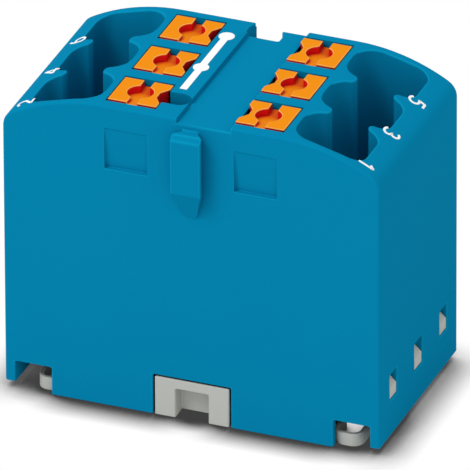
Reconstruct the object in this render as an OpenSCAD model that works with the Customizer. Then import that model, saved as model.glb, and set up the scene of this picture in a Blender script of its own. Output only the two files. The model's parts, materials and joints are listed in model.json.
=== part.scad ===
// Power distribution block: one blue moulded housing with six spring clamps, each opened by an orange
// push button, all on one current bar. A grey foot snaps in from below and carries a sprung latch.
// +X runs along the block, +Y to its back, +Z up. The origin is the centre of the base.

/* [Housing] */
// Length of the block
body_w = 29.8; // [29.6:0.1:32]
// Depth of the block
body_d = 16.2; // [16.1:0.1:18]
// Height of the block to its flat top
body_h = 25.25; // [25:0.05:27]
// Length of the flat top between the two shoulders
flat_w = 13.9; // [13:0.1:14.5]
// Radius of the curved shoulders
shoulder_r = 14.5; // [13:0.5:18]
// Rounding where a shoulder meets its side wall
corner_r = 1.4; // [0.6:0.1:1.8]
// Rounding of the long outer edges
edge_r = 0.2; // [0.15:0.05:0.4]
// Thickness of the left and right walls
side_wall = 0.8; // [0.7:0.05:1]
// Thickness of the front and back walls beside the foot
face_wall = 0.55; // [0.5:0.05:0.7]
// Height of the corners and side walls above the base
corner_lift = 0.55; // [0.4:0.05:1]

/* [Clamping units] */
// Distance between neighbouring clamping units
pitch = 5.2; // [5.2:0.1:5.4]
// Distance of the button rows from the middle
button_x = 5.05; // [5:0.05:5.1]
// Distance of the wire rows from the middle
wire_x = 10.35; // [10.3:0.05:10.6]
// Bore that guides one insulated conductor
wire_r = 1.95; // [1.6:0.05:1.95]
// Length of the wire bore
wire_bore_l = 2; // [1.5:0.25:3]
// Height of the ceiling of the clamp chambers
chamber_top = 12.2; // [12:0.1:13]
// Length of a clamp chamber
chamber_l = 10.6; // [10.4:0.1:10.6]
// Thickness of the housing between a clamp chamber and the side face
end_wall = 1.75; // [1.6:0.05:1.9]
// Width of a clamp chamber
chamber_w = 4.5; // [4.3:0.1:4.6]

/* [Wire hollows] */
// Length of one lobe of a wire hollow
lobe_l = 5.6; // [5.6:0.05:5.9]
// Width of one lobe
lobe_w = 4.4; // [4.35:0.05:4.5]
// Rounding of a lobe towards its button
lobe_inner_r = 1.75; // [1.4:0.05:1.75]
// Rounding of a lobe towards the side wall
lobe_outer_r = 1.15; // [0.9:0.05:1.15]
// Width of the necks that join the lobes
neck_w = 2.7; // [2:0.1:3]
// Rounding of the cusps beside the necks
cusp_r = 0.45; // [0.3:0.05:0.6]

/* [Push buttons] */
// Length of a button
button_l = 3.83; // [3.6:0.01:3.83]
// Width of a button
button_w = 3.6; // [3.4:0.05:3.8]
// How far a button stands above the flat top
button_proud = 0.05; // [0:0.05:0.3]
// Gap at the two ends of a button, along the block
button_gap = 0.085; // [0.06:0.005:0.1]
// Gap between a button and the front and back of its shaft
button_side_gap = 0.25; // [0.1:0.05:0.3]
// Radius of the screwdriver recess
recess_r = 1; // [0.8:0.05:1.1]
// Depth of the screwdriver recess
recess_depth = 0.65; // [0.5:0.05:0.9]
// Width of the screwdriver slot
slot_w = 0.78; // [0.6:0.02:0.9]
// Depth of the slot at the back of a button
slot_back_depth = 0.5; // [0.3:0.05:0.8]
// Depth of the slot at the front of a button
slot_front_depth = 0.2; // [0.1:0.05:0.4]
// Depth of the notch in the side of a button
notch_depth = 0.5; // [0.3:0.05:0.6]
// Width of the notch at its mouth
notch_mouth = 2.2; // [1.8:0.1:2.6]
// Width of the notch at its bottom
notch_floor = 0.75; // [0.5:0.05:1]
// Length of the notch down the button
notch_l = 6; // [3:0.5:8]
// Reach of the lugs that keep a button in
lug_reach = 0.4; // [0.3:0.05:0.45]
// Height of the lugs
lug_h = 1; // [0.8:0.1:1.2]
// Gap between the lugs and the ceiling of the chamber
lug_gap = 0.1; // [0.05:0.05:0.2]
// Length of the toe of a button below its lugs
button_toe = 0.35; // [0.2:0.05:0.4]

/* [Clamp springs and current bar] */
// Thickness of the leaf springs
leaf_t = 0.3; // [0.2:0.05:0.35]
// Width of the leaf springs
leaf_w = 3.2; // [2.4:0.1:3.4]
// Bend radius of the leaf springs
leaf_r = 1.5; // [1.2:0.1:1.5]
// Distance of a leaf spring's back from the inner end of its chamber
leaf_back = 0.6; // [0.5:0.05:0.8]
// Length of the leg that lies on the bar
leaf_leg_l = 5; // [4:0.1:5.2]
// Height of the upper bend above the lower end of the button
leaf_rise = 0.2; // [0.1:0.05:0.25]
// Height of the tip of a leaf spring above the bar
leaf_tip_h = 1.6; // [1:0.1:2]
// Distance of the tip from its contact tab
leaf_tip_gap = 0.35; // [0.3:0.05:0.5]
// Thickness of the current bar
bar_t = 0.8; // [0.6:0.05:0.9]
// Gap between the bar and the ends of the chambers
bar_end_gap = 0.15; // [0.1:0.05:0.3]
// Distance of the bar's long edges from the outer chamber walls
bar_inset = 0.45; // [0.4:0.05:0.5]
// Gap round the bar in its room
bar_gap = 0.1; // [0.05:0.01:0.12]
// Width of the strip between a window in the bar and its tab
bar_strip = 0.2; // [0.2:0.05:0.4]
// Thickness of the contact tabs
tab_t = 0.6; // [0.5:0.05:0.65]
// Width of the contact tabs
tab_w = 3.4; // [2.8:0.1:3.6]
// Height of the contact tabs above the bar
tab_h = 3.4; // [2.5:0.1:4]

/* [Front and back] */
// Width of the marker groove
groove_w = 4.25; // [4:0.05:4.4]
// Distance of the marker groove's right edge from the middle
groove_right = 3.13; // [3:0.01:3.13]
// Depth of the marker groove
groove_depth = 0.36; // [0.3:0.01:0.5]
// Distance of the test socket from the middle
test_x = 1.95; // [1.9:0.01:2.05]
// Radius of the test socket where it opens into its button shaft
test_mouth_r = 0.88; // [0.88:0.01:0.95]
// Radius of the closed length below
test_r = 0.7; // [0.6:0.01:0.7]
// Radius of the narrow end, which reaches the current bar
test_tip_r = 0.4; // [0.3:0.05:0.45]
// Height of the lower end of the closed length
test_floor = 12.6; // [12.4:0.1:13]
// Depth over which the test socket opens into its button shaft
test_slot_depth = 8; // [5:0.5:10]
// Width of the square front recesses
recess_w = 3.4; // [3:0.1:3.8]
// Height of the square front recesses
recess_h = 3.4; // [2.8:0.1:3.6]
// Distance of the square recesses from the middle
recess_x = 5.12; // [4.8:0.02:5.6]
// Distance of the square recesses' upper edge below the flat top
recess_drop = 1.85; // [1.6:0.05:4]
// Depth of the square recesses at their lower edge
recess_cut = 0.38; // [0.2:0.01:0.4]
// Depth of the square recesses at their upper edge
recess_top_cut = 0.08; // [0.05:0.01:0.2]
// Width of the dovetail tongue at its face
tongue_w = 2.4; // [2.2:0.05:2.7]
// Width of the tongue at the front wall
tongue_neck = 1.25; // [1:0.05:1.4]
// How far the tongue stands out
tongue_out = 1.15; // [1:0.05:1.25]
// Distance from the wall over which the tongue's flanks spread
tongue_flank = 0.75; // [0.6:0.05:0.85]
// Length of the straight part of the tongue
tongue_l = 4.4; // [3:0.1:4.6]
// Distance of the tongue's top below the flat top
tongue_drop = 0.85; // [0.5:0.05:2]
// Length of the tapered tip
tongue_tip = 2.5; // [1.8:0.1:2.6]
// Rounding of the tip
tongue_tip_r = 0.6; // [0.4:0.05:0.8]
// Chamfer over the tongue's top
tongue_chamfer = 0.4; // [0.2:0.05:0.45]
// Width of the back slot at its mouth
slot_mouth = 1.96; // [1.7:0.02:2]
// Gap between a tongue and the floor corners of the slot
slot_gap = 0.1; // [0.05:0.05:0.15]
// Depth of the back slot
slot_depth = 1.6; // [1.4:0.05:1.7]

/* [Foot and latch] */
// Height of the cavity that holds the foot
foot_top = 6.4; // [6:0.1:6.6]
// Thickness of the foot's plate
foot_plate = 1.1; // [0.8:0.1:1.4]
// Height of the foot's ribs above the base
foot_bottom = 2.4; // [2.3:0.1:2.8]
// Thickness of the foot's walls and ribs
foot_rib = 0.9; // [0.7:0.05:1.1]
// Gap between the foot and the housing
foot_gap = 0.1; // [0.05:0.01:0.15]
// Length of each raised corner, from the side face
corner_l = 3.7; // [3.6:0.1:3.9]
// Width of the corner openings in the front wall
corner_open_w = 2.9; // [2.4:0.05:2.9]
// Height of the corner openings
corner_open_h = 2.3; // [1.8:0.1:2.4]
// Width of the outer side windows
window_w = 1.5; // [1.3:0.05:1.6]
// Height of the outer side windows
window_h = 2.1; // [1.9:0.05:2.3]
// Width of the middle side window
window_mid_w = 1.65; // [1.5:0.05:2]
// Height of the middle side window
window_mid_h = 2.3; // [2.1:0.05:2.5]
// Height of the upper edge of the side windows
window_top = 5.65; // [5.6:0.05:5.9]
// Gap round a hook in its window
hook_gap = 0.1; // [0.05:0.01:0.15]
// Distance of a hook inside the side face
hook_inset = 0.05; // [0:0.01:0.2]
// Height of the upright face of a hook
hook_face_h = 0.85; // [0.5:0.05:0.9]
// Width of the fixed hook at the back of the foot
rear_hook_w = 9; // [6:0.5:12]
// Reach of the rear hook's lip
rear_hook_lip = 0.6; // [0.4:0.05:0.6]
// Height of the lower end of the rear hook above the base
rear_hook_z = 0.2; // [0.1:0.05:0.4]
// Width of the latch
latch_w = 5.93; // [5.6:0.01:6.2]
// Height of the latch
latch_h = 3.25; // [3.2:0.01:3.6]
// Depth of the latch's front block
latch_d = 2.2; // [2:0.1:2.4]
// Gap round the latch
latch_gap = 0.13; // [0.08:0.01:0.15]
// Width of the screwdriver pocket in the latch
pocket_w = 2.6; // [2.4:0.05:3]
// Height of the pocket
pocket_h = 2.45; // [2.2:0.05:2.6]
// Depth of the pocket
pocket_d = 1.15; // [1:0.05:1.4]
// Height of the latch's underside behind the pocket
latch_lift = 0.2; // [0.1:0.05:0.4]
// Width of the runner, the part of the latch that slides in the foot
runner_w = 4.64; // [4:0.02:4.7]
// Thickness of the runner
runner_t = 0.9; // [0.8:0.05:1]
// Distance of the runner's guide from the middle, at its back
runner_end = 1.2; // [1.2:0.1:2]
// Width of the nose under the latch
nose_w = 4; // [3:0.1:5]
// Reach of the nose
nose_out = 0.55; // [0.3:0.05:0.6]
// Width of the rib that carries the spring arms
rib_w = 1.2; // [1:0.1:2]
// Distance of the spring arms behind the latch's front block
arm_back = 1.3; // [1.2:0.05:1.5]
// Thickness of the latch's spring arms
arm_t = 0.33; // [0.25:0.01:0.4]
// Height of the spring arms
arm_h = 1.07; // [0.9:0.01:1.2]
// Length of the loop in a spring arm
loop_l = 2.3; // [2:0.1:2.4]
// Bend radius of the spring arms
loop_r = 0.7; // [0.5:0.05:0.75]
// Distance of the right loop's middle from the right side face
loop_right = 2.9; // [2.8:0.05:3.1]
// Distance of the left loop's middle from the left side face
loop_left = 3.39; // [3.2:0.01:3.5]
// Distance of the spring arms from the inside of the front wall
loop_gap = 0.06; // [0.05:0.01:0.1]
// Width of the post that holds the end of a spring arm
post_w = 1.2; // [1:0.05:1.2]
// Distance of the posts from the middle
post_y = 2.6; // [2.6:0.1:3]

/* [Hidden] */

// Colours
blue = "#047ea8";
orange = "#f79408";
grey = "#b7b8b2";
steel = "#c9ccd0";
copper = "#c98a5c";

// Facets of bores and roundings, of the shoulders' circles, and of each bend of a strip
bore_fn = 48;
shoulder_fn = 128;
bend_steps = 8;

// How far a cut runs past a face
past = 1;

// Gap between two pieces that rest on each other
seat_gap = 0.03;

// Rows from front to back, and the two sides: odd units stand on the right, even ones on the left
rows = [-1, 0, 1];
sides = [1, -1];

front = -body_d / 2;
back = body_d / 2;
inner_w = body_w - 2 * side_wall;
inner_d = body_d - 2 * face_wall;
shaft_l = button_l + 2 * button_gap;
shaft_w = button_w + 2 * button_side_gap;
hollow_floor = chamber_top + wire_bore_l;
chamber_out = body_w / 2 - end_wall;
chamber_in = chamber_out - chamber_l;
bar_bottom = foot_top + seat_gap;
bar_top = bar_bottom + bar_t;
bar_l = 2 * (chamber_out - bar_end_gap);
bar_w = 2 * pitch + chamber_w - 2 * bar_inset;
button_top = body_h + button_proud;
recess_z = body_h - recess_drop - recess_h;
tongue_top = body_h - tongue_drop;
tongue_z = tongue_top - tongue_chamfer - tongue_l;
tongue_low = tongue_z - tongue_tip;
lug_top = chamber_top - lug_gap;
button_bottom = lug_top - lug_h - button_toe;
base_half = body_w / 2 - corner_l;
latch_back = front + latch_d;
guide_w = latch_w + 2 * latch_gap;
guide_back = -runner_end;
runner_bottom = latch_h - runner_t;
arm_y = latch_back + arm_back;
loop_x = [body_w / 2 - loop_right, body_w / 2 - loop_left];

function unit_row(i) = rows[floor((i - 1) / 2)];
function unit_side(i) = sides[(i - 1) % 2];

// Plane curves: a path of straight runs with its corners rounded, and a strip of even thickness along it
function unit(v) = v / norm(v);
function perp(v) = [-v[1], v[0]];
function turned(v, a) = [v[0] * cos(a) - v[1] * sin(a), v[0] * sin(a) + v[1] * cos(a)];

function bend(a, b, c, r) =
    let (u = unit(b - a), v = unit(c - b), cross_z = u[0] * v[1] - u[1] * v[0])
    let (angle = acos(u * v), way = sign(cross_z))
    let (start = b - u * r * tan(angle / 2), centre = start + perp(u) * r * way)
    [for (i = [0 : bend_steps]) centre + turned(start - centre, way * angle * i / bend_steps)];

function rounded_path(corners, r) =
    let (last = len(corners) - 1)
    concat(
        [corners[0]],
        [for (i = [1 : last - 1]) each bend(corners[i - 1], corners[i], corners[i + 1], r)],
        [corners[last]]
    );

function strip(path, t) =
    let (last = len(path) - 1)
    let (sideways = [for (i = [0 : last]) perp(unit(path[min(i + 1, last)] - path[max(i - 1, 0)]))])
    concat(
        [for (i = [0 : last]) path[i] + sideways[i] * t / 2],
        [for (i = [last : -1 : 0]) path[i] - sideways[i] * t / 2]
    );

// Box centred in X and Y
module slab(size, low) {
    translate([-size[0] / 2, -size[1] / 2, low]) cube(size);
}

// Stretches an outline in X and Z over a depth centred in Y
module along_y(depth) {
    translate([0, depth / 2, 0]) rotate([90, 0, 0]) linear_extrude(depth) children();
}

// Outline of the block from the front: a flat top, two curved shoulders and upright side walls
module block_outline(inset) {
    offset(delta = -inset) offset(r = corner_r, $fn = bore_fn) offset(delta = -corner_r)
        intersection() {
            translate([-body_w / 2, -past]) square([body_w, body_h + past]);
            union() {
                for (s = sides)
                    translate([s * flat_w / 2, body_h - shoulder_r]) circle(shoulder_r, $fn = shoulder_fn);
                translate([-flat_w / 2, 0]) square([flat_w, body_h]);
                translate([-body_w / 2, -past]) square([body_w, body_h / 2 + past]);
            }
        }
}

module outer_block() {
    intersection() {
        hull() {
            for (step = [0 : 3]) {
                angle = step * 30;
                along_y(body_d - 2 * edge_r * (1 - sin(angle)))
                    block_outline(edge_r * (1 - cos(angle)));
            }
        }
        slab([body_w + past, body_d + past, body_h + past], 0);
    }
}

// Stretches an outline in Y and Z over a width centred in X
module along_x(width) {
    rotate([90, 0, 90]) translate([0, 0, -width / 2]) linear_extrude(width) children();
}

// Dovetail tongue on the front wall: its plan, its side view and its front view intersected
module tongue() {
    root = 0.3;
    half = tongue_w / 2;
    plan = [
        [-tongue_neck / 2, root], [tongue_neck / 2, root], [tongue_neck / 2, 0],
        [half, -tongue_flank], [half, -tongue_out],
        [-half, -tongue_out], [-half, -tongue_flank], [-tongue_neck / 2, 0],
    ];
    profile = [
        [root, tongue_low], [root, tongue_top], [tongue_chamfer - tongue_out, tongue_top],
        [-tongue_out, tongue_top - tongue_chamfer], [-tongue_out, tongue_z], [0, tongue_low],
    ];
    // the tip's straight sides touch its round end
    tip_z = tongue_low + tongue_tip_r;
    drop = tongue_z - tip_z;
    touch = atan2(drop, half) - acos(tongue_tip_r / norm([half, drop]));
    side = [tongue_tip_r * cos(touch), tip_z + tongue_tip_r * sin(touch)];
    translate([0, front, 0])
        intersection() {
            translate([0, 0, tongue_low]) linear_extrude(tongue_top - tongue_low) polygon(plan);
            along_x(tongue_w) polygon(profile);
            along_y(2 * tongue_out + 2 * root) {
                polygon([
                    [-half, tongue_top], [half, tongue_top], [half, tongue_z],
                    side, [-side[0], side[1]], [-half, tongue_z],
                ]);
                translate([0, tip_z]) circle(tongue_tip_r, $fn = bore_fn);
            }
        }
}

// Three lobes joined by necks, with rounded cusps: seen from above, its button lies towards -X
module hollow_outline() {
    offset(r = -cusp_r, $fn = bore_fn) offset(delta = cusp_r) {
        for (row = rows) translate([0, row * pitch]) lobe_outline();
        square([neck_w, 2 * pitch], center = true);
    }
}

module lobe_outline() {
    inner_centre = -lobe_l / 2 + lobe_inner_r;
    outer_centre = lobe_l / 2 - lobe_outer_r;
    hull() {
        for (s = sides) {
            translate([inner_centre, s * (lobe_w / 2 - lobe_inner_r)]) circle(lobe_inner_r, $fn = bore_fn);
            translate([outer_centre, s * (lobe_w / 2 - lobe_outer_r)]) circle(lobe_outer_r, $fn = bore_fn);
        }
    }
}

// One wire hollow per side, open to the top
module wire_hollow() {
    translate([wire_x, 0, hollow_floor]) linear_extrude(body_h - hollow_floor + past) hollow_outline();
}

// Everything cut for one clamping unit on the right side: chamber, button shaft and wire bore
module unit_cut() {
    translate([chamber_in, -chamber_w / 2, bar_bottom])
        cube([chamber_l, chamber_w, chamber_top - bar_bottom]);
    translate([button_x, 0, 0]) slab([shaft_l, shaft_w, body_h], chamber_top - past);
    translate([wire_x, 0, chamber_top - past])
        cylinder(r = wire_r, h = wire_bore_l + 2 * past, $fn = bore_fn);
}

// Stepped socket for a test plug beside the front left button
module test_socket() {
    mouth_floor = body_h - test_slot_depth;
    translate([-test_x, -pitch, mouth_floor])
        cylinder(r = test_mouth_r, h = test_slot_depth + past, $fn = bore_fn);
    translate([-button_x, -pitch - test_mouth_r, mouth_floor])
        cube([button_x - test_x, 2 * test_mouth_r, test_slot_depth + past]);
    translate([-test_x, -pitch, test_floor])
        cylinder(r = test_r, h = body_h - test_floor, $fn = bore_fn);
    translate([-test_x, -pitch, bar_bottom])
        cylinder(r = test_tip_r, h = body_h - bar_bottom, $fn = bore_fn);
}

module marker_groove() {
    translate([groove_right - groove_w, front - past, body_h - groove_depth])
        cube([groove_w, body_d + 2 * past, groove_depth + past]);
}

// Square recesses in the front wall, deepest at their lower edge
module front_recesses() {
    profile = [[-past, 0], [recess_cut, 0], [recess_top_cut, recess_h], [-past, recess_h]];
    for (s = sides) translate([s * recess_x, front, recess_z]) along_x(recess_w) polygon(profile);
}

// Dovetail slot in the back wall that takes the tongue of the next block
module back_slot() {
    low = tongue_low - slot_gap;
    floor_half = tongue_w / 2 + slot_gap;
    profile = [
        [-floor_half, -slot_depth], [floor_half, -slot_depth], [floor_half, -tongue_flank],
        [slot_mouth / 2, 0], [slot_mouth / 2, past], [-slot_mouth / 2, past],
        [-slot_mouth / 2, 0], [-floor_half, -tongue_flank],
    ];
    translate([0, back, low]) linear_extrude(body_h - low + past) polygon(profile);
}

// Room under the block for the foot, the current bar and the latch
module lower_room() {
    slab([inner_w, inner_d, foot_top + past], -past);
    slab([bar_l + 2 * bar_gap, bar_w + 2 * bar_gap, bar_top + bar_gap - foot_top + past], foot_top - past);
    translate([0, front, 0]) slab([guide_w, 2 * past, latch_h + latch_gap + past], -past);
    for (s = sides) {
        translate([s * (base_half + corner_open_w / 2), front, 0])
            slab([corner_open_w, 2 * past, corner_open_h + past], -past);
        translate([s * (base_half + body_w / 2), 0, 0])
            slab([body_w, body_d + 2 * past, corner_lift + past], -past);
    }
}

// Width and height of the side window in a row
function window_size(row) = row == 0 ? [window_mid_w, window_mid_h] : [window_w, window_h];

module side_windows() {
    for (s = sides, row = rows) {
        size = window_size(row);
        translate([s * body_w / 2, row * pitch, 0])
            slab([2 * (side_wall + past), size[0], size[1]], window_top - size[1]);
    }
}

module housing() {
    color(blue)
        difference() {
            union() {
                outer_block();
                tongue();
            }
            lower_room();
            side_windows();
            for (s = sides) {
                mirror([s < 0 ? 1 : 0, 0, 0]) {
                    wire_hollow();
                    for (row = rows) translate([0, row * pitch, 0]) unit_cut();
                }
            }
            test_socket();
            marker_groove();
            front_recesses();
            back_slot();
        }
}

// Screwdriver slot and round recess of a button, with one floor that rises to the front edge
module driver_cut() {
    half = button_w / 2;
    floor_line = [
        [-half - past, -slot_front_depth], [-half, -slot_front_depth], [recess_r, -recess_depth],
        [half, -slot_back_depth], [half + past, -slot_back_depth], [half + past, past], [-half - past, past],
    ];
    intersection() {
        along_x(button_l) polygon(floor_line);
        translate([0, 0, -past]) linear_extrude(2 * past) {
            circle(recess_r, $fn = bore_fn);
            square([slot_w, button_w + 2 * past], center = true);
        }
    }
}

// A button of the right side, at the middle of its shaft: its notch looks to the middle of the block
module button_solid() {
    inner_end = -button_l / 2;
    notch = [
        [inner_end - past, -notch_mouth / 2], [inner_end, -notch_mouth / 2],
        [inner_end + notch_depth, -notch_floor / 2], [inner_end + notch_depth, notch_floor / 2],
        [inner_end, notch_mouth / 2], [inner_end - past, notch_mouth / 2],
    ];
    difference() {
        union() {
            slab([button_l, button_w, button_top - button_bottom], button_bottom);
            slab([button_l + 2 * lug_reach, button_w, lug_h], lug_top - lug_h);
        }
        translate([0, 0, button_top]) driver_cut();
        translate([0, 0, button_top - notch_l]) linear_extrude(notch_l + past) polygon(notch);
    }
}

module button(i) {
    color(orange)
        translate([unit_side(i) * button_x, unit_row(i) * pitch, 0])
        mirror([unit_side(i) < 0 ? 1 : 0, 0, 0]) button_solid();
}

// Leaf spring: one leg lies on the bar, the other slopes down to its tip at the contact tab
module clamp_spring(i) {
    leg_z = bar_top + seat_gap + leaf_t / 2;
    back_x = chamber_in + leaf_back;
    corners = [
        [back_x + leaf_leg_l, leg_z],
        [back_x, leg_z],
        [back_x, button_bottom + leaf_rise],
        [bar_l / 2 - tab_t - leaf_tip_gap, bar_top + leaf_tip_h],
    ];
    color(steel)
        mirror([unit_side(i) < 0 ? 1 : 0, 0, 0])
        translate([0, unit_row(i) * pitch, 0])
        along_y(leaf_w) polygon(strip(rounded_path(corners, leaf_r), leaf_t));
}

// One stamped bar: a plate with a window under each wire and an upturned tab at each clamp
module current_bar() {
    opening = 2 * (bar_l / 2 - tab_t - bar_strip - wire_x);
    color(copper) {
        difference() {
            slab([bar_l, bar_w, bar_t], bar_bottom);
            for (s = sides, row = rows)
                translate([s * wire_x, row * pitch, 0])
                    slab([opening, leaf_w, 4 * bar_t], bar_bottom - bar_t);
        }
        for (s = sides, row = rows)
            translate([s * (bar_l - tab_t) / 2, row * pitch, 0])
                slab([tab_t, tab_w, bar_t + tab_h], bar_bottom);
    }
}

// Snap hook on the right wall of the foot: flat below, upright, then sloping back to the wall
module hook(row) {
    size = window_size(row);
    low = window_top - size[1] + hook_gap;
    wall_face = inner_w / 2 - foot_gap;
    reach = body_w / 2 - hook_inset - wall_face;
    outline = [
        [-foot_rib / 2, low], [reach, low], [reach, low + hook_face_h],
        [0, low + hook_face_h + reach], [-foot_rib / 2, low + hook_face_h + reach],
    ];
    translate([wall_face, row * pitch, 0]) along_y(size[0] - 2 * hook_gap) polygon(outline);
}

// Fixed hook at the back of the foot
module rear_hook() {
    rear = inner_d / 2 - foot_gap;
    inner = rear - foot_rib;
    root = foot_bottom + foot_gap;
    outline = [
        [rear, rear_hook_z], [rear, root], [inner, root], [inner, rear_hook_z + 1.5 * rear_hook_lip],
        [inner - rear_hook_lip, rear_hook_z + rear_hook_lip], [inner - rear_hook_lip, rear_hook_z],
    ];
    along_x(rear_hook_w) polygon(outline);
}

// Walls, ribs and hooks of the foot
module foot_frame() {
    plate_w = inner_w - 2 * foot_gap;
    plate_d = inner_d - 2 * foot_gap;
    rib_h = foot_top - foot_bottom;
    slab([plate_w, plate_d, foot_plate], foot_top - foot_plate);
    slab([plate_w, foot_rib, rib_h], foot_bottom);
    for (s = sides) {
        translate([s * (plate_w - foot_rib) / 2, 0, 0]) slab([foot_rib, plate_d, rib_h], foot_bottom);
        translate([s * plate_w / 4, 0, 0]) slab([foot_rib, plate_d, rib_h], foot_bottom);
        translate([0, s * (plate_d - foot_rib) / 2, 0]) slab([plate_w, foot_rib, rib_h], foot_bottom);
        mirror([s < 0 ? 1 : 0, 0, 0]) for (row = rows) hook(row);
    }
    rear_hook();
}

// Foot with the guide of the latch and the posts that hold the ends of its spring arms
module foot() {
    guide_front = latch_back + latch_gap;
    guide_bottom = runner_bottom - latch_gap - foot_rib;
    color(grey)
        difference() {
            union() {
                foot_frame();
                translate([0, (guide_front + guide_back) / 2, 0])
                    slab(
                        [guide_w + 2 * foot_rib, guide_back - guide_front, foot_top - guide_bottom],
                        guide_bottom
                    );
                for (i = [0, 1])
                    translate([sides[i] * (loop_x[i] + (loop_l - arm_t) / 2), post_w / 2 - post_y, 0])
                        slab([post_w, post_w, foot_top], 0);
            }
            // room of the front block, slot of the runner, and way of the rib below it
            translate([-guide_w / 2, front, -past])
                cube([guide_w, latch_d + latch_gap, latch_h + latch_gap + past]);
            translate([-runner_w / 2 - latch_gap, front, runner_bottom - latch_gap])
                cube([runner_w + 2 * latch_gap, guide_back - foot_rib / 3 - front, runner_t + 2 * latch_gap]);
            translate([-guide_w / 2, front, -past])
                cube([guide_w, arm_y + arm_t / 2 + latch_gap - front, runner_bottom + past]);
        }
}

// Latch: a front block with a pocket for a screwdriver, a runner in the foot and a nose below
module latch() {
    overlap = 0.1;
    runner_back = guide_back - foot_rib / 3 - latch_gap;
    root = latch_back - overlap;
    nose = [[0, 0], [nose_out, nose_out / 2], [nose_out, 1.25 * nose_out], [0, 1.75 * nose_out]];
    color(grey)
        difference() {
            union() {
                translate([0, front + latch_d / 2, 0]) slab([latch_w, latch_d, latch_h], 0);
                translate([-runner_w / 2, root, runner_bottom])
                    cube([runner_w, runner_back - root, runner_t]);
                translate([0, latch_back, 0]) along_x(nose_w) polygon(nose);
                translate([-rib_w / 2, root, 0])
                    cube([rib_w, arm_y + arm_t / 2 - root, latch_h - overlap]);
                translate([0, arm_y, 0]) slab([latch_w, arm_t, arm_h], 0);
            }
            translate([0, front, 0]) slab([pocket_w, 2 * pocket_d, pocket_h + past], -past);
            translate([0, front, 0]) slab([pocket_w, 2 * (latch_d + nose_out), latch_lift + past], -past);
        }
}

// Spring arm of the latch: out along the block, round a loop at the corner opening, back to its post
module latch_spring(i) {
    outer_x = loop_x[i] + (loop_l - arm_t) / 2;
    inner_x = loop_x[i] - (loop_l - arm_t) / 2;
    front_y = -inner_d / 2 + loop_gap + arm_t / 2;
    corners = [
        [latch_w / 2 + seat_gap, arm_y],
        [inner_x, arm_y],
        [inner_x, front_y],
        [outer_x, front_y],
        [outer_x, -post_y - seat_gap],
    ];
    color(grey)
        mirror([sides[i] < 0 ? 1 : 0, 0, 0])
        linear_extrude(arm_h) polygon(strip(rounded_path(corners, loop_r), arm_t));
}

housing();
button(1);  // button_1
button(2);  // button_2
button(3);  // button_3
button(4);  // button_4
button(5);  // button_5
button(6);  // button_6
clamp_spring(1);  // clamp_spring_1
clamp_spring(2);  // clamp_spring_2
clamp_spring(3);  // clamp_spring_3
clamp_spring(4);  // clamp_spring_4
clamp_spring(5);  // clamp_spring_5
clamp_spring(6);  // clamp_spring_6
current_bar();
foot();
latch();
latch_spring(0);  // latch_spring_right
latch_spring(1);  // latch_spring_left
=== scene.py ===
"""Power distribution block: finishes, printed marks and studio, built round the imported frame.

Lengths in the settings are in metres, as Blender keeps them.
"""

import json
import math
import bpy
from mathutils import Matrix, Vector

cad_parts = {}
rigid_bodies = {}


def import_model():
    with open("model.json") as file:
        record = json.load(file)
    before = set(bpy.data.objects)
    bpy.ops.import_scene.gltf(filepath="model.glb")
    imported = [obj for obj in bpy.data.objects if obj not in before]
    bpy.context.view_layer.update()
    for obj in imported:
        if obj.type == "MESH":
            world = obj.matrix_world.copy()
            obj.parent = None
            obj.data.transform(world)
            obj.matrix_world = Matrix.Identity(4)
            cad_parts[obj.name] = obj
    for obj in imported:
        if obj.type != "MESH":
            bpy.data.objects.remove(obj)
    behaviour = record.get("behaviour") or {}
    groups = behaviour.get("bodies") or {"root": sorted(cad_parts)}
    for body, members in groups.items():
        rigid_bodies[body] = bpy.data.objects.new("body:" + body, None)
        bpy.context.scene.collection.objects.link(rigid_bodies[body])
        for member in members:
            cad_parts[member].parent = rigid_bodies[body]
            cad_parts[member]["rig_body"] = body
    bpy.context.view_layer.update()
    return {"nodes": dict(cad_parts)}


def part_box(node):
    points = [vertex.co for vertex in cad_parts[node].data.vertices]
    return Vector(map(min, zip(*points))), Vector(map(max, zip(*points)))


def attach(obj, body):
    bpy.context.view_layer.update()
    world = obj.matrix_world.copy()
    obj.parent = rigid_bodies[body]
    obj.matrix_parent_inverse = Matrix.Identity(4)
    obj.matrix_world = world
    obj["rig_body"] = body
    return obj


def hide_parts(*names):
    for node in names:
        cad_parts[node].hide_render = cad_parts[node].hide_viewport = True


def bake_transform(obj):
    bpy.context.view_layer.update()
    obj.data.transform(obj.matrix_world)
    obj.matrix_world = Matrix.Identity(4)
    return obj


bl_info = {
    "name": "Power Distribution Block",
    "version": (1, 0, 0),
    "blender": (4, 5, 0),
    "location": "View3D > Sidebar > Block",
    "description": "Dresses a six-clamp power distribution block and sets up its studio",
    "category": "Add Mesh",
}

import bmesh
import bpy
import numpy as np
from mathutils import Matrix, Vector
from mathutils.geometry import delaunay_2d_cdt

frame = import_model()

MM = 0.001
HOUSING_LOW, HOUSING_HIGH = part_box("housing")
TOP = HOUSING_HIGH[2]
BUTTONS = sorted(n for n in frame["nodes"] if n.startswith("button_"))
LEAVES = sorted(n for n in frame["nodes"] if n.startswith("clamp_spring_"))
ARMS = sorted(n for n in frame["nodes"] if n.startswith("latch_spring_"))

MERGE = 0.02 * MM  # vertices closer than this become one
FLAT = math.radians(1)  # neighbouring faces that turn less than this are joined
CREASE = math.radians(12)  # creases of the tongue that turn more than this stay crisp

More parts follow.
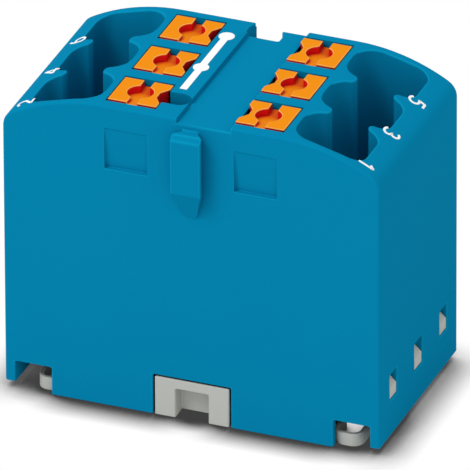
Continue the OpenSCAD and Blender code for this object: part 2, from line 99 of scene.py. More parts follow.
# Places on the housing: depths lie below its top, and X and Y pairs run to the right and to the back.
RECESS_DEPTHS = (1.6 * MM, 5.6 * MM)
RECESS_REACH = (-0.1 * MM, 0.5 * MM)  # from before the front wall to behind the recesses' floors
CHAMBER_DEPTH = 11.1 * MM
CHAMBER_WALL = 1.5 * MM
FOOT_ROOM_HEIGHT = 3.3 * MM
THIN_WALL = 0.3 * MM
TONGUE_HALF = 1.3 * MM
TONGUE_ROOT = 0.05 * MM  # how far the tongue's box reaches behind the front wall
TONGUE_FOOT_DEPTHS = (6.3 * MM, 9.5 * MM)
SOCKET_X = (-3.1 * MM, -0.95 * MM)
SOCKET_Y = (-6.4 * MM, -4 * MM)
SOCKET_DEPTH = 12 * MM
GROOVE_WALL_X = (-1.2 * MM, -1 * MM)
GROOVE_DEPTH = 0.5 * MM
SHAFT_MARGIN = 0.3 * MM  # room round a button that takes in its shaft's edges

BUTTON_MARGIN = 0.1 * MM
CROWN_DEPTH = 0.3 * MM  # only the edges above this depth of a button's box are rounded
UPRIGHT = 0.2  # a face is upright when its normal rises or falls by less than this

# The net on the housing's top.
NET_X = 0.55 * MM
NET_Y = 0.8 * MM
NET_MARGIN = 0.32 * MM
SKIN_MISS = 0.012 * MM  # how far the facets may lie from the true arc

# Waves a metre of the materials' patterns.
CLOUD_WAVES = 180
GRAIN_WAVES = 9000
PATCH_WAVES = 500
LINE_WAVES = 20000
LINE_STRETCH = (0.05, 1, 0.3)
GLOSS_SPREAD = 0.05

# Openness at which a painted shade is at its full, and at which it ends: in narrow gaps, deep in recesses,
# and on the floor.
GAP_OPENNESS = (0.12, 0.42)
WALLED_OPENNESS = (0.45, 0.9)
FLOOR_OPENNESS = (0.46, 1)
# Darkest value of the floor's painted shadow.
FLOOR_DARKEST = 0.05

INK_STEP = 0.05 * MM  # distance between the points along a number's stroke
INK_MERGE = 0.002 * MM
LINE_GRID = (3, 24)  # points across and along the printed line
DIGIT_HALF = 0.3  # half the width of a number, as a share of its height

FLOOR_HALF = 0.6
# The floor's shade is painted; the lean below shifts that painted shadow.
FLOOR_LEAN = (-0.18, 0.35, 1)  # makes the floor's shade reach further to the front and the right
KEY_FROM = (-0.32, -0.45, 0.79)
KEY_DISTANCE = 0.4
KEY_SIZE = 0.16
KEY_TARGET = (0, 0, 0.012)


# ---------------------------------------------------------------- settings


def colour_setting(name, description, default):
    """A colour that the panel shows."""
    return bpy.props.FloatVectorProperty(
        name=name, description=description, subtype="COLOR", size=3, min=0, max=1, default=default
    )


def length_setting(name, description, default):
    """A length in metres that the panel shows."""
    return bpy.props.FloatProperty(
        name=name, description=description, subtype="DISTANCE", unit="LENGTH",
        precision=5, default=default,
    )


class BlockColours(bpy.types.PropertyGroup):
    """Colours of the mouldings, the metal and the print."""

    housing: colour_setting("Housing", "Blue of the housing", (0.0012, 0.209, 0.386))
    # Painted highlight: a lighter blue on the housing's rounded edges, standing in for light caught there.
    housing_edge_highlight: colour_setting(
        "Housing edges", "Blue of the housing's rounded edges", (0.002, 0.248, 0.436)
    )
    button: colour_setting("Button face", "Orange of the button tops", (0.79, 0.246, 0.0015))
    # Painted shade: the deeper, redder tint that the button's face takes deep in its recess.
    button_recess_shade: colour_setting(
        "Button recess", "Tint that the button takes deep in its recess", (0.6, 0.02, 0.01)
    )
    # Painted highlight: pale orange on the buttons' rounded edges, standing in for light caught there.
    button_edge_highlight: colour_setting("Button edge", "Worn pale orange of the buttons' edges", (0.86, 0.38, 0.08))
    # Painted shade: a deep red on the buttons' upright faces, a shaded copy of their orange.
    button_wall_painted_shade: colour_setting(
        "Button wall", "Deep red of the buttons' flanks and recess walls", (0.6, 0.007, 0.008)
    )
    foot: colour_setting("Foot", "Grey of the foot, the latch and its spring arms", (0.468, 0.475, 0.44))
    ink: colour_setting("Ink", "White of the printed line and numbers", (0.88, 0.88, 0.88))
    spring: colour_setting("Spring steel", "Bright rolled steel of the clamp springs", (0.56, 0.57, 0.59))
    tin: colour_setting("Tin", "Plating of the current bar", (0.66, 0.64, 0.6))


class BlockShape(bpy.types.PropertyGroup):
    """Sizes of the roundings and of the printed marks."""

    rim: length_setting("Rim rounding", "Rounding of the housing's moulded edges", 0.13 * MM)
    small_rim: length_setting("Small rounding", "Rounding of the shallow steps in the front wall", 0.05 * MM)
    button_rim: length_setting("Button rounding", "Rounding of the buttons' edges", 0.06 * MM)
    latch_rim: length_setting("Latch rounding", "Rounding of the latch's edges", 0.12 * MM)
    foot_rim: length_setting("Foot rounding", "Rounding of the foot's edges and thin ribs", 0.04 * MM)
    arm_rim: length_setting("Arm rounding", "Rounding of the spring arms' edges", 0.06 * MM)
    leaf_rim: length_setting("Leaf rounding", "Rounding of the leaf springs' edges", 0.03 * MM)
    bar_rim: length_setting("Bar rounding", "Rounding of the current bar's edges", 0.06 * MM)
    arm_loop: length_setting("Arm loop", "Length of the loop at the far end of each spring arm", 2.2 * MM)
    tongue: length_setting("Tongue", "How far the tongue stands out of the front wall", 1.15 * MM)
    flat_half: length_setting("Half flat", "Half the length of the flat top", 6.95 * MM)
    shoulder: length_setting("Shoulder radius", "Radius of the curved shoulders", 14.5 * MM)
    ink_lift: length_setting("Ink thickness", "Thickness of the printed layer", 0.012 * MM)
    line_x: length_setting("Line place", "Distance of the printed line left of the middle", 2.31 * MM)
    line_width: length_setting("Line width", "Width of the printed line", 0.565 * MM)
    line_front: length_setting(
        "Line front end", "Distance of the line's front end from the middle", 3.61 * MM
    )
    pitch: length_setting("Pitch", "Distance between neighbouring clamping units", 5.2 * MM)
    dot: length_setting("Dot radius", "Radius of the dots on the line", 0.605 * MM)
    digit_height: length_setting("Number height", "Height of the position numbers", 1.25 * MM)
    digit_foot: length_setting("Number foot", "Distance of the numbers' feet from the middle", 12.9 * MM)
    digit_shift: length_setting("Number shift", "How far a number stands in front of its unit", 1.85 * MM)
    digit_stroke: length_setting("Number stroke", "Width of the numbers' strokes", 0.2 * MM)


class BlockStudio(bpy.types.PropertyGroup):
    """Camera and lamps."""

    azimuth: bpy.props.FloatProperty(
        name="Azimuth", description="Turn of the camera round the block",
        subtype="ANGLE", default=math.radians(21.416),
    )
    elevation: bpy.props.FloatProperty(
        name="Elevation", description="Height of the camera above the horizon",
        subtype="ANGLE", default=math.radians(28.702),
    )
    roll: bpy.props.FloatProperty(
        name="Roll", description="Tilt of the camera about its own line of sight",
        subtype="ANGLE", default=math.radians(-0.253),
    )
    distance: length_setting("Distance", "Distance of the camera from its aim", 1.3528)
    lens: bpy.props.FloatProperty(
        name="Lens", description="Focal length of the camera in millimetres", default=1397.8,
    )
    aim: bpy.props.FloatVectorProperty(
        name="Aim", description="Point that the camera looks at",
        subtype="XYZ", unit="LENGTH", size=3, default=(0.000445, -0.00031, 0.011837),
    )
    room: bpy.props.FloatProperty(
        name="Room light", description="Strength of the even light from all round", min=0, default=0.86,
    )
    key: bpy.props.FloatProperty(
        name="Key lamp", description="Power of the soft lamp at the front left",
        unit="POWER", min=0, default=0.56,
    )
    # Painted shadow: how far the darkening painted on the floor round the base reaches.
    painted_contact_shadow: length_setting("Contact shadow", "Reach of the shadow on the floor round the base", 2.9 * MM)


def settings():
    """The groups of settings, as the panel shows them."""
    scene = bpy.context.scene
    return scene.block_colours, scene.block_shape, scene.block_studio


def added(name, data):
    """A new object in the scene."""
    new = bpy.data.objects.new(name, data)
    bpy.context.scene.collection.objects.link(new)
    return new


# ---------------------------------------------------------------- materials


def new_material(name):
    """A node material with its Principled shader, ready to wire."""
    material = bpy.data.materials.new(name)
    material.use_nodes = True
    return material, material.node_tree, material.node_tree.nodes["Principled BSDF"]


def noise(tree, place, scale, detail):
    """Noise over the piece's own coordinates; its scale is in waves a metre."""
    node = tree.nodes.new("ShaderNodeTexNoise")
    node.inputs["Scale"].default_value = scale
    node.inputs["Detail"].default_value = detail
    tree.links.new(place, node.inputs["Vector"])
    return node.outputs["Fac"]


def ramp(tree, value, low, high, span=(0, 1)):
    """Spreads a value's span over low..high."""
    start, end = span
    node = tree.nodes.new("ShaderNodeMapRange")
    for socket, number in (("From Min", start), ("From Max", end), ("To Min", low), ("To Max", high)):
        node.inputs[socket].default_value = number
    tree.links.new(value, node.inputs["Value"])
    return node.outputs["Result"]


def openness(tree, reach, samples=8):
    """Node whose AO output is 1 out in the open, and less the more walls stand within reach."""
    node = tree.nodes.new("ShaderNodeAmbientOcclusion")
    node.inputs["Distance"].default_value = reach
    node.samples = samples
    return node


def bumped(tree, shader, height, strength, distance):
    """Raises the shader's surface by a height field."""
    node = tree.nodes.new("ShaderNodeBump")
    node.inputs["Strength"].default_value = strength
    node.inputs["Distance"].default_value = distance
    tree.links.new(height, node.inputs["Height"])
    tree.links.new(node.outputs["Normal"], shader.inputs["Normal"])


def clouded(tree, shader, cloud, colour, spread, roughness):
    """Varies tint and gloss together with a slow cloud."""
    tint = tree.nodes.new("ShaderNodeMixRGB")
    tint.inputs["Color1"].default_value = (*[c * (1 - spread) for c in colour], 1)
    tint.inputs["Color2"].default_value = (*[min(1, c * (1 + spread)) for c in colour], 1)
    tree.links.new(cloud, tint.inputs["Fac"])
    tree.links.new(tint.outputs["Color"], shader.inputs["Base Color"])
    gloss = ramp(tree, cloud, roughness - GLOSS_SPREAD, roughness + GLOSS_SPREAD)
    tree.links.new(gloss, shader.inputs["Roughness"])


def recoloured(tree, shader, blend):
    """Puts a mix node behind the shader's colour, with that colour in its first place."""
    mix = tree.nodes.new("ShaderNodeMixRGB")
    mix.blend_type = blend
    base = shader.inputs["Base Color"]
    tree.links.new(base.links[0].from_socket, mix.inputs["Color1"])
    tree.links.new(mix.outputs["Color"], base)
    return mix


def painted_gap_shade(tree, shader, reach=0.6 * MM):
    """Paints shade deep in narrow gaps: darkens the colour where walls stand close round."""
    mix = recoloured(tree, shader, "MULTIPLY")
    mix.inputs["Fac"].default_value = 1
    light = ramp(tree, openness(tree, reach).outputs["AO"], 0, 1, GAP_OPENNESS)
    tree.links.new(light, mix.inputs["Color2"])


def painted_recess_shade(tree, shader, deep, reach=1.4 * MM):
    """Paints shade and bounced colour between nearby walls: tints the colour towards a deeper one there."""
    mix = recoloured(tree, shader, "MIX")
    mix.inputs["Color2"].default_value = (*deep, 1)
    walled = ramp(tree, openness(tree, reach).outputs["AO"], 1, 0, WALLED_OPENNESS)
    tree.links.new(walled, mix.inputs["Fac"])


def moulded_plastic(
    name, colour, roughness=0.55, specular=0.03, grain=0.004 * MM, spread=0.015, paint_gap_shade=True, deep=None
):
    """Moulded plastic: a fine spark-eroded grain, with faint cloudiness in gloss and tint, and painted shade
    in narrow gaps and recesses when asked.
    """
    material, tree, shader = new_material(name)
    shader.inputs["Specular IOR Level"].default_value = specular
    place = tree.nodes.new("ShaderNodeTexCoord").outputs["Object"]
    clouded(tree, shader, noise(tree, place, CLOUD_WAVES, detail=2), colour, spread, roughness)
    # Painted shade and bounced colour deep in recesses, where a deeper tint is given.
    if deep:
        painted_recess_shade(tree, shader, deep)
    # Painted shade in narrow gaps, unless it is turned off.
    if paint_gap_shade:
        painted_gap_shade(tree, shader)
    bumped(tree, shader, noise(tree, place, GRAIN_WAVES, detail=3), strength=0.2, distance=grain)
    return material


def rolled_metal(name, colour, roughness):
    """Bright rolled metal: fine lines along the strip, with patches of softer gloss."""
    material, tree, shader = new_material(name)
    shader.inputs["Metallic"].default_value = 1
    place = tree.nodes.new("ShaderNodeTexCoord").outputs["Object"]
    lines = tree.nodes.new("ShaderNodeMapping")
    lines.inputs["Scale"].default_value = LINE_STRETCH
    tree.links.new(place, lines.inputs["Vector"])
    clouded(tree, shader, noise(tree, place, PATCH_WAVES, detail=3), colour, 0.05, roughness)
    height = noise(tree, lines.outputs["Vector"], LINE_WAVES, detail=2)
    bumped(tree, shader, height, strength=0.3, distance=0.003 * MM)
    return material


# ---------------------------------------------------------------- dressing CAD nodes


def share_at(point, zones):
    """Share of the full rounding that the first zone round the point gives; 1 outside them all."""
    for low, high, share in zones:
        if all(a <= p <= b for a, p, b in zip(low, point, high)):
            return share
    return 1.0


def room_round(node, margin):
    """Box round a CAD node, widened by the margin."""
    corners = np.array([v.co for v in frame["nodes"][node].data.vertices])
    return tuple(corners.min(0) - margin), tuple(corners.max(0) + margin)


def prepare_edges(work, sharp, zones, creases):
    """Marks the edges to be rounded, and keeps the shallower creases crisp in the zones given."""
    weight = work.edges.layers.float.new("bevel_weight_edge")
    for edge in work.edges:
        if len(edge.link_faces) != 2:
            continue
        angle = edge.calc_face_angle(0)
        middle = (edge.verts[0].co + edge.verts[1].co) / 2
        if angle > sharp:
            edge[weight] = share_at(middle, zones)
            edge.smooth = edge[weight] > 0
        elif angle > CREASE and share_at(middle, creases) < 1:
            edge.smooth = False


def dressed(
    node, materials, edge, segments=2, sharp=38,
    zones=(), creases=(), edge_highlight_material=-1, renewed=None, flex=None,
):
    """A finished copy of a CAD node: merged, flat faces joined, and edges rounded by the radius given.

    It rides on its node's body; a piece given a flex stays where it is without a body, and the flex's body
    and ends are not used.
    """
    source = frame["nodes"][node]
    name = node + "_finished"
    mesh = source.data.copy()
    mesh.name = name
    work = bmesh.new()
    work.from_mesh(mesh)
    bmesh.ops.remove_doubles(work, verts=work.verts, dist=MERGE)
    bmesh.ops.dissolve_limit(work, angle_limit=FLAT, verts=work.verts, edges=work.edges)
    if renewed:
        renewed(work)
    prepare_edges(work, math.radians(sharp), zones, creases)
    for face in work.faces:
        face.smooth = True
    work.to_mesh(mesh)
    work.free()
    mesh.materials.clear()
    for material in materials:
        mesh.materials.append(material)
    piece = added(name, mesh)
    rounding = piece.modifiers.new("edges", "BEVEL")
    rounding.width = edge
    rounding.segments = segments
    rounding.limit_method = "WEIGHT"
    rounding.use_clamp_overlap = False
    rounding.loop_slide = False
    rounding.miter_outer = "MITER_PATCH"
    # The rounded edges' new faces take the painted highlight material, where one is given.
    rounding.material = edge_highlight_material
    rounding.face_strength_mode = "FSTR_ALL"
    evened = piece.modifiers.new("normals", "WEIGHTED_NORMAL")
    evened.use_face_influence = True
    evened.keep_sharp = True
    if flex:
        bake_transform(piece)
    else:
        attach(piece, source["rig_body"])
    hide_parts(node)
    return piece


# ---------------------------------------------------------------- housing


def skin_height(x, shape):
    """Height of the housing's top over x: flat in the middle, then an arc on each side."""
    reach = np.maximum(np.abs(x) - shape.flat_half, 0)
    return TOP - shape.shoulder + np.sqrt(shape.shoulder ** 2 - reach ** 2)


def unrolled(x, shape):
    """Distance along the top's surface from the middle to x."""
    reach = np.clip((np.abs(x) - shape.flat_half) / shape.shoulder, 0, 1)
    return np.sign(x) * (np.minimum(np.abs(x), shape.flat_half) + shape.shoulder * np.arcsin(reach))


def rolled(along, shape):
    """The x of the place that lies this far along the top's surface."""
    turn = np.maximum(np.abs(along) - shape.flat_half, 0) / shape.shoulder
    return np.sign(along) * (np.minimum(np.abs(along), shape.flat_half) + shape.shoulder * np.sin(turn))


def inside(points, starts, ends):
    """Even-odd test: a point is inside when a ray to its right crosses the border an odd number of times."""
    px, py = points[:, :1], points[:, 1:]
    ax, ay, bx, by = starts[:, 0], starts[:, 1], ends[:, 0], ends[:, 1]
    across = (ay > py) != (by > py)
    level = np.where(by == ay, 1, by - ay)
    hit = ax + (py - ay) / level * (bx - ax)
    return (across & (px < hit)).sum(1) % 2 == 1


def border_distance(points, starts, ends):
    """Distance of each point from the nearest run of the border."""
    run = ends - starts
    share = ((points[:, None] - starts) * run).sum(-1) / (run ** 2).sum(-1)
    nearest = starts + np.clip(share, 0, 1)[..., None] * run
    return np.linalg.norm(points[:, None] - nearest, axis=-1).min(1)


def even_net(rim, pairs):
    """Triangles over the flat area inside the border: an even net of points, joined to the rim's own points.

    Gives the net's points, and the triangles' corners as numbers in the rim followed by the net.
    """
    starts, ends = rim[pairs[:, 0]], rim[pairs[:, 1]]
    low, high = rim.min(0), rim.max(0)
    columns, rows = np.arange(low[0], high[0], NET_X), np.arange(low[1], high[1], NET_Y)
    net = np.stack(np.meshgrid(columns, rows), -1).reshape(-1, 2)
    net = net[inside(net, starts, ends)]
    net = net[border_distance(net, starts, ends) > NET_MARGIN]
    points = [Vector(p) for p in np.concatenate([rim, net]) / MM]
    corners, _, triangles, origins, _, _ = delaunay_2d_cdt(points, pairs.tolist(), [], 0, 1e-6)
    if not all(origins):
        raise RuntimeError("the top's border crosses itself")
    corners, triangles = np.array([c[:] for c in corners]) * MM, np.array(triangles)
    triangles = triangles[inside(corners[triangles].mean(1), starts, ends)]
    return net, np.array([origin[0] for origin in origins])[triangles]


def renew_top(work, shape):
    """Replaces the top's facets by an even net on the true arc, so that its rims can be rounded cleanly."""

    def on_skin(face):
        return face.normal.z > 0.5 and all(
            abs(v.co.z - float(skin_height(v.co.x, shape))) < SKIN_MISS for v in face.verts
        )

    bmesh.ops.delete(work, geom=[face for face in work.faces if on_skin(face)], context="FACES")
    spare = [v for v in work.verts if len(v.link_edges) == 2 and all(e.is_boundary for e in v.link_edges)]
    bmesh.ops.dissolve_verts(work, verts=spare)
    border = [e for e in work.edges if e.is_boundary]
    rim = sorted({v for e in border for v in e.verts}, key=lambda v: v.index)
    number = {v: i for i, v in enumerate(rim)}
    pairs = np.array([[number[v] for v in e.verts] for e in border])
    flat = np.array([(unrolled(v.co.x, shape), v.co.y) for v in rim])
    net, triangles = even_net(flat, pairs)
    x = rolled(net[:, 0], shape)
    fresh = [work.verts.new(p) for p in np.stack([x, net[:, 1], skin_height(x, shape)], -1)]
    corners = rim + fresh
    for triangle in triangles:
        work.faces.new([corners[i] for i in triangle])
    bmesh.ops.recalc_face_normals(work, faces=work.faces)


def box_of(x, y, z):
    """Lowest and highest corner of a box, from its range along each axis."""
    return tuple(zip(x, y, z))


def tongue_box(wall, low, high):
    """Box round the tongue between two heights, from its front to just behind the front wall."""
    return box_of((-TONGUE_HALF, TONGUE_HALF), (HOUSING_LOW[1], wall + TONGUE_ROOT), (low, high))


def crisp_boxes(wall):
    """Boxes of the housing whose edges stay crisp: inside, at shafts and socket, and below the tongue."""
    left, front, low = HOUSING_LOW
    right, back, _ = HOUSING_HIGH
    within = (wall + THIN_WALL, back - THIN_WALL)
    near, far = TONGUE_FOOT_DEPTHS
    return [
        box_of((left + CHAMBER_WALL, right - CHAMBER_WALL), within, (low, TOP - CHAMBER_DEPTH)),
        box_of((left + THIN_WALL, right - THIN_WALL), within, (low, low + FOOT_ROOM_HEIGHT)),
        box_of(SOCKET_X, SOCKET_Y, (TOP - SOCKET_DEPTH, TOP)),
        box_of(GROOVE_WALL_X, (front, back), (TOP - GROOVE_DEPTH, TOP)),
        tongue_box(wall, TOP - far, TOP - near),
        *[room_round(node, SHAFT_MARGIN) for node in BUTTONS],
    ]


class BLOCK_OT_housing(bpy.types.Operator):
    """Finish the blue housing"""

    bl_idname = "block.housing"
    bl_label = "Housing"

    def execute(self, context):
        colours, shape, _ = settings()
        blue = moulded_plastic("housing_blue", colours.housing, specular=0.001)
        # Painted highlight: the rounded edges take a lighter copy of the blue.
        edge_highlight_blue = moulded_plastic("housing_painted_edge_highlight", colours.housing_edge_highlight, specular=0.001)
        left, front, low = HOUSING_LOW
        right = HOUSING_HIGH[0]
        wall = front + shape.tongue
        near, far = RECESS_DEPTHS
        recesses = box_of((left, right), [wall + reach for reach in RECESS_REACH], (TOP - far, TOP - near))
        dressed(
            "housing", [blue, edge_highlight_blue], shape.rim, segments=3, edge_highlight_material=1,
            zones=[(*recesses, shape.small_rim / shape.rim)] + [(*box, 0) for box in crisp_boxes(wall)],
            creases=[(*tongue_box(wall, low, TOP), 0)], renewed=lambda work: renew_top(work, shape),
        )
        return {"FINISHED"}


# ---------------------------------------------------------------- printed marks


def on_top(along, y, shape, lift):
    """Point lifted off the housing's top; along is measured on the surface from the middle."""
    side = np.sign(along)
    arc = np.maximum(np.abs(along) - shape.flat_half, 0) / shape.shoulder
    radius = shape.shoulder + lift
    x = side * (np.minimum(np.abs(along), shape.flat_half) + radius * np.sin(arc))
    z = TOP - shape.shoulder + radius * np.cos(arc)
    return np.stack([x, y, z], -1)


def resampled(points, step):
    """The same run of straight lines, with points at even steps along it."""
    points = np.asarray(points, float)
    length = np.concatenate([[0], np.cumsum(np.linalg.norm(np.diff(points, axis=0), axis=1))])
    count = max(2, int(math.ceil(length[-1] / step)) + 1)
    even = np.union1d(np.linspace(0, length[-1], count), length)
    return np.stack([np.interp(even, length, points[:, i]) for i in (0, 1)], -1)


def stroke(points, width):
    """Flat ribbon: every point of the path moved half the width to each side of it, square to the path."""
    step = np.gradient(points, axis=0)
    step /= np.linalg.norm(step, axis=1, keepdims=True)
    across = np.stack([-step[:, 1], step[:, 0]], -1) * width / 2
    return np.stack([points + across, points - across])


def ellipse(cx, cy, rx, ry, start, end, points=24):
    """Points of an elliptic arc; its angles are in degrees."""
    t = np.radians(np.linspace(start, end, points))
    return np.stack([cx + rx * np.cos(t), cy + ry * np.sin(t)], -1)


def digit(number):
    """Strokes of a plain number, in a box 0.6 wide and 1 high."""
    lines = {
        1: [[(0.12, 0.74), (0.36, 1), (0.36, 0)]],
        2: [np.concatenate([ellipse(0.3, 0.7, 0.27, 0.3, 165, -35), [(0.03, 0), (0.6, 0)]])],
        3: [np.concatenate([
            ellipse(0.28, 0.75, 0.25, 0.25, 150, -80), ellipse(0.28, 0.27, 0.3, 0.27, 80, -150)
        ])],
        4: [[(0.44, 0), (0.44, 1), (0, 0.3), (0.62, 0.3)]],
        5: [np.concatenate([
            [(0.53, 1), (0.12, 1), (0.07, 0.55)], ellipse(0.27, 0.32, 0.3, 0.32, 120, -150)
        ])],
        6: [np.concatenate([
            ellipse(0.34, 0.3, 0.34, 0.7, 105, 180), ellipse(0.3, 0.3, 0.29, 0.3, 180, 540)
        ])],
    }
    return [np.asarray(line, float) for line in lines[number]]


def grid_faces(rows, columns, first):
    """Quads of a grid whose points are numbered row by row."""
    corner = first + np.arange((rows - 1) * columns).reshape(rows - 1, columns)[:, :-1]
    return np.stack([corner, corner + columns, corner + columns + 1, corner + 1], -1).reshape(-1, 4)


def printed(name, sheets, shape, material, coats=1):
    """One printed mark: grids of points on the top, given a little thickness for each coat."""
    points, faces, first = [], [], 0
    for along, y in sheets:
        points.append(on_top(along, y, shape, shape.ink_lift * coats / 2).reshape(-1, 3))
        faces.append(grid_faces(*along.shape, first))
        first += along.size
    mesh = bpy.data.meshes.new(name)
    mesh.from_pydata(np.concatenate(points).tolist(), [], np.concatenate(faces).tolist())
    work = bmesh.new()
    work.from_mesh(mesh)
    bmesh.ops.remove_doubles(work, verts=work.verts, dist=INK_MERGE)
    bmesh.ops.recalc_face_normals(work, faces=work.faces)
    for face in work.faces:
        if face.normal.z < 0:
            face.normal_flip()
    work.to_mesh(mesh)
    work.free()
    mesh.materials.append(material)
    piece = added(name, mesh)
    layer = piece.modifiers.new("layer", "SOLIDIFY")
    layer.thickness = shape.ink_lift * coats
    layer.offset = 0
    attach(piece, frame["nodes"]["housing"]["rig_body"])


def disc(x, y, radius, rings=4, points=48):
    """Polar grid round x, y: rings from the middle outwards, each with so many points."""
    r, t = np.meshgrid(
        np.linspace(0, radius, rings + 1), np.linspace(0, 2 * np.pi, points + 1), indexing="ij"
    )
    return x + r * np.cos(t), y + r * np.sin(t)


class BLOCK_OT_print_marks(bpy.types.Operator):
    """Print the line with its two dots, and the position numbers"""

    bl_idname = "block.print_marks"
    bl_label = "Printed marks"

    def execute(self, context):
        colours, shape, _ = settings()
        ink = moulded_plastic("ink_white", colours.ink, roughness=0.7, spread=0.01, paint_gap_shade=False)
        across, along = LINE_GRID
        x, y = np.meshgrid(
            -shape.line_x + shape.line_width * np.linspace(-0.5, 0.5, across),
            np.linspace(-shape.line_front, shape.pitch, along),
            indexing="ij",
        )
        printed("print_line", [(x, y)], shape, ink)
        for row in (0, 1):
            dot = disc(-shape.line_x, row * shape.pitch, shape.dot)
            printed(f"print_dot_{row + 1}", [dot], shape, ink, coats=2)
        foot = unrolled(shape.digit_foot, shape)
        for number in range(1, 7):
            side = 1 if number % 2 else -1
            row = (number - 1) // 2 - 1
            sheets = []
            for line in digit(number):
                path = resampled(line * shape.digit_height, INK_STEP)
                ribbon = stroke(path, shape.digit_stroke)
                across = ribbon[..., 0] - DIGIT_HALF * shape.digit_height
                y = row * shape.pitch - shape.digit_shift - side * across
                sheets.append((side * (foot + ribbon[..., 1]), y))
            printed(f"print_number_{number}", sheets, shape, ink)
        return {"FINISHED"}


# ---------------------------------------------------------------- the other pieces


class BLOCK_OT_buttons(bpy.types.Operator):
    """Finish the six orange push buttons"""

    bl_idname = "block.buttons"
    bl_label = "Push buttons"

    def execute(self, context):
        colours, shape, _ = settings()
        face = moulded_plastic("button_orange", colours.button, deep=tuple(colours.button_recess_shade))
        # Painted shade: the upright faces take a darker, redder copy of the orange.
        wall = moulded_plastic("button_painted_wall_shade", colours.button_wall_painted_shade)
        # Painted highlight on the buttons' rounded edges.
        edge_highlight = moulded_plastic("button_painted_edge_highlight", colours.button_edge_highlight)
        for node in BUTTONS:
            low, high = room_round(node, BUTTON_MARGIN)
            below = (low, (*high[:2], high[2] - CROWN_DEPTH))
            piece = dressed(
                node, [face, wall, edge_highlight], shape.button_rim,
                zones=[(*below, 0)], edge_highlight_material=2,
            )
            # Upright faces take the painted wall shade; the tops keep the orange.
            upright = [abs(p.normal.z) < UPRIGHT for p in piece.data.polygons]
            piece.data.polygons.foreach_set("material_index", np.array(upright, np.int32))
        return {"FINISHED"}


class BLOCK_OT_clamps(bpy.types.Operator):
    """Finish the leaf springs and the current bar"""

    bl_idname = "block.clamps"
    bl_label = "Clamp springs and bar"

    def execute(self, context):
        colours, shape, _ = settings()
        steel = rolled_metal("spring_steel_bright", colours.spring, 0.28)
        for leaf, button in zip(LEAVES, BUTTONS):
            (x, y, low), (_, _, high) = room_round(leaf, 0)
            flex = (button, (x, y, low), (x, y, high))
            dressed(leaf, [steel], shape.leaf_rim, sharp=50, flex=flex)
        tin = rolled_metal("bar_tinned", colours.tin, 0.4)
        dressed("current_bar", [tin], shape.bar_rim)
        return {"FINISHED"}


class BLOCK_OT_foot(bpy.types.Operator):
    """Finish the grey foot, its latch and the spring arms"""

    bl_idname = "block.foot"
    bl_label = "Foot and latch"

    def execute(self, context):
        colours, shape, _ = settings()
        grey = moulded_plastic("foot_grey", colours.foot, specular=0.1)
        dressed("foot", [grey], shape.foot_rim)
        dressed("latch", [grey], shape.latch_rim)
        for arm in ARMS:
            (left, front, low), (right, _, _) = room_round(arm, 0)
            inner, outer = sorted((left, right), key=abs)
            loop = outer - math.copysign(shape.arm_loop, outer)
            flex = ("latch", (loop, front, low), (inner, front, low))
            dressed(arm, [grey], shape.arm_rim, sharp=50, flex=flex)
        return {"FINISHED"}


# ---------------------------------------------------------------- studio


def aim_lamp(lamp, target):
    """Turns a lamp's beam from where it stands to the target."""
    lamp.rotation_mode = "QUATERNION"
    lamp.rotation_quaternion = (Vector(target) - lamp.location).to_track_quat("-Z", "Y")


def make_floor(reach):
    """White floor: the eye sees it white, with a painted shadow that darkens it near the block, and it
    bounces light as paper does.
    """
    half = FLOOR_HALF
    corners = [(-half, -half, 0), (half, -half, 0), (half, half, 0), (-half, half, 0)]
    mesh = bpy.data.meshes.new("floor")
    mesh.from_pydata(corners, [], [(0, 1, 2, 3)])
    floor = added("floor", mesh)
    material, tree, shader = new_material("floor_white")
    shader.inputs["Base Color"].default_value = (0.8, 0.8, 0.8, 1)
    shader.inputs["Roughness"].default_value = 1
    shader.inputs["Specular IOR Level"].default_value = 0
    near = openness(tree, reach, samples=16)
    lean = tree.nodes.new("ShaderNodeCombineXYZ")
    for socket, value in zip("XYZ", Vector(FLOOR_LEAN).normalized()):
        lean.inputs[socket].default_value = value
    tree.links.new(lean.outputs["Vector"], near.inputs["Normal"])
    floor_painted_shadow = tree.nodes.new("ShaderNodeEmission")
    # Painted shadow: the floor that the eye sees is darker where the block stands close by.
    light = ramp(tree, near.outputs["AO"], FLOOR_DARKEST, 1, FLOOR_OPENNESS)
    tree.links.new(light, floor_painted_shadow.inputs["Color"])
    seen(tree, shader.outputs["BSDF"], floor_painted_shadow.outputs["Emission"], "ShaderNodeOutputMaterial")
    mesh.materials.append(material)


def seen(tree, lit, shown, kind):
    """Shows one shader to the camera, gloss and glass, and the other to the light that bounces."""
    path = tree.nodes.new("ShaderNodeLightPath")
    either = None
    for ray in ("Is Camera Ray", "Is Glossy Ray", "Is Transmission Ray"):
        if either is None:
            either = path.outputs[ray]
            continue
        larger = tree.nodes.new("ShaderNodeMath")
        larger.operation = "MAXIMUM"
        tree.links.new(either, larger.inputs[0])
        tree.links.new(path.outputs[ray], larger.inputs[1])
        either = larger.outputs["Value"]
    mix = tree.nodes.new("ShaderNodeMixShader")
    tree.links.new(either, mix.inputs["Fac"])
    tree.links.new(lit, mix.inputs[1])
    tree.links.new(shown, mix.inputs[2])
    out = next((n for n in tree.nodes if n.bl_idname == kind), None) or tree.nodes.new(kind)
    tree.links.new(mix.outputs["Shader"], out.inputs["Surface"])


def make_room(strength):
    """Even light from all round, with a white background."""
    world = bpy.context.scene.world or bpy.data.worlds.new("studio")
    bpy.context.scene.world = world
    world.use_nodes = True
    tree = world.node_tree
    tree.nodes.clear()
    shaders = []
    for level in (strength, 1):
        background = tree.nodes.new("ShaderNodeBackground")
        background.inputs["Color"].default_value = (1, 1, 1, 1)
        background.inputs["Strength"].default_value = level
        shaders.append(background.outputs["Background"])
    seen(tree, *shaders, "ShaderNodeOutputWorld")


def make_key(power):
    """Large soft lamp high at the front left."""
    data = bpy.data.lights.new("key", "AREA")
    data.shape = "DISK"
    data.size = KEY_SIZE
    data.energy = power
    lamp = added("key", data)
    lamp.location = Vector(KEY_FROM).normalized() * KEY_DISTANCE
    aim_lamp(lamp, KEY_TARGET)


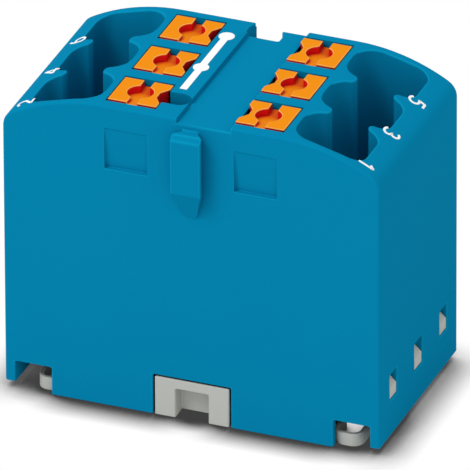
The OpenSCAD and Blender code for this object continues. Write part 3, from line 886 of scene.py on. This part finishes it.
def make_camera(studio):
    """Camera on a long lens, turned by azimuth, elevation and roll about its aim."""
    data = bpy.data.cameras.new("camera")
    data.sensor_width = 36
    data.lens = studio.lens
    data.clip_start = 0.01
    data.clip_end = 10
    camera = added("camera", data)
    bpy.context.scene.camera = camera
    az, el = studio.azimuth, studio.elevation
    back = Vector((math.sin(az) * math.cos(el), -math.cos(az) * math.cos(el), math.sin(el)))
    right = Vector((math.cos(az), math.sin(az), 0))
    up = back.cross(right)
    turn = Matrix((right, up, back)).transposed() @ Matrix.Rotation(studio.roll, 3, "Z")
    camera.rotation_mode = "QUATERNION"
    camera.rotation_quaternion = turn.to_quaternion()
    camera.location = Vector(studio.aim) + back * studio.distance


class BLOCK_OT_studio(bpy.types.Operator):
    """Set up the floor, the lamp, the surroundings and the camera"""

    bl_idname = "block.studio"
    bl_label = "Studio"

    def execute(self, context):
        _, _, studio = settings()
        context.scene.view_settings.view_transform = "Standard"
        make_floor(studio.painted_contact_shadow)
        make_room(studio.room)
        make_key(studio.key)
        make_camera(studio)
        return {"FINISHED"}


STEPS = (
    BLOCK_OT_studio,
    BLOCK_OT_housing,
    BLOCK_OT_print_marks,
    BLOCK_OT_buttons,
    BLOCK_OT_clamps,
    BLOCK_OT_foot,
)


class BLOCK_PT_build(bpy.types.Panel):
    """Lists the block's steps and settings"""

    bl_idname = "BLOCK_PT_build"
    bl_label = "Power Distribution Block"
    bl_space_type = "VIEW_3D"
    bl_region_type = "UI"
    bl_category = "Block"

    def draw(self, context):
        for step in STEPS:
            self.layout.operator(step.bl_idname)
        for group in settings():
            box = self.layout.box()
            for name in group.__annotations__:
                box.prop(group, name)


CLASSES = (BlockColours, BlockShape, BlockStudio, *STEPS, BLOCK_PT_build)


def register():
    for cls in CLASSES:
        bpy.utils.register_class(cls)
    bpy.types.Scene.block_colours = bpy.props.PointerProperty(type=BlockColours)
    bpy.types.Scene.block_shape = bpy.props.PointerProperty(type=BlockShape)
    bpy.types.Scene.block_studio = bpy.props.PointerProperty(type=BlockStudio)


def unregister():
    del bpy.types.Scene.block_studio
    del bpy.types.Scene.block_shape
    del bpy.types.Scene.block_colours
    for cls in reversed(CLASSES):
        bpy.utils.unregister_class(cls)


def main():
    register()
    bpy.ops.block.studio()
    bpy.ops.block.housing()
    bpy.ops.block.print_marks()
    bpy.ops.block.buttons()
    bpy.ops.block.clamps()
    bpy.ops.block.foot()


if __name__ == "__main__":
    main()
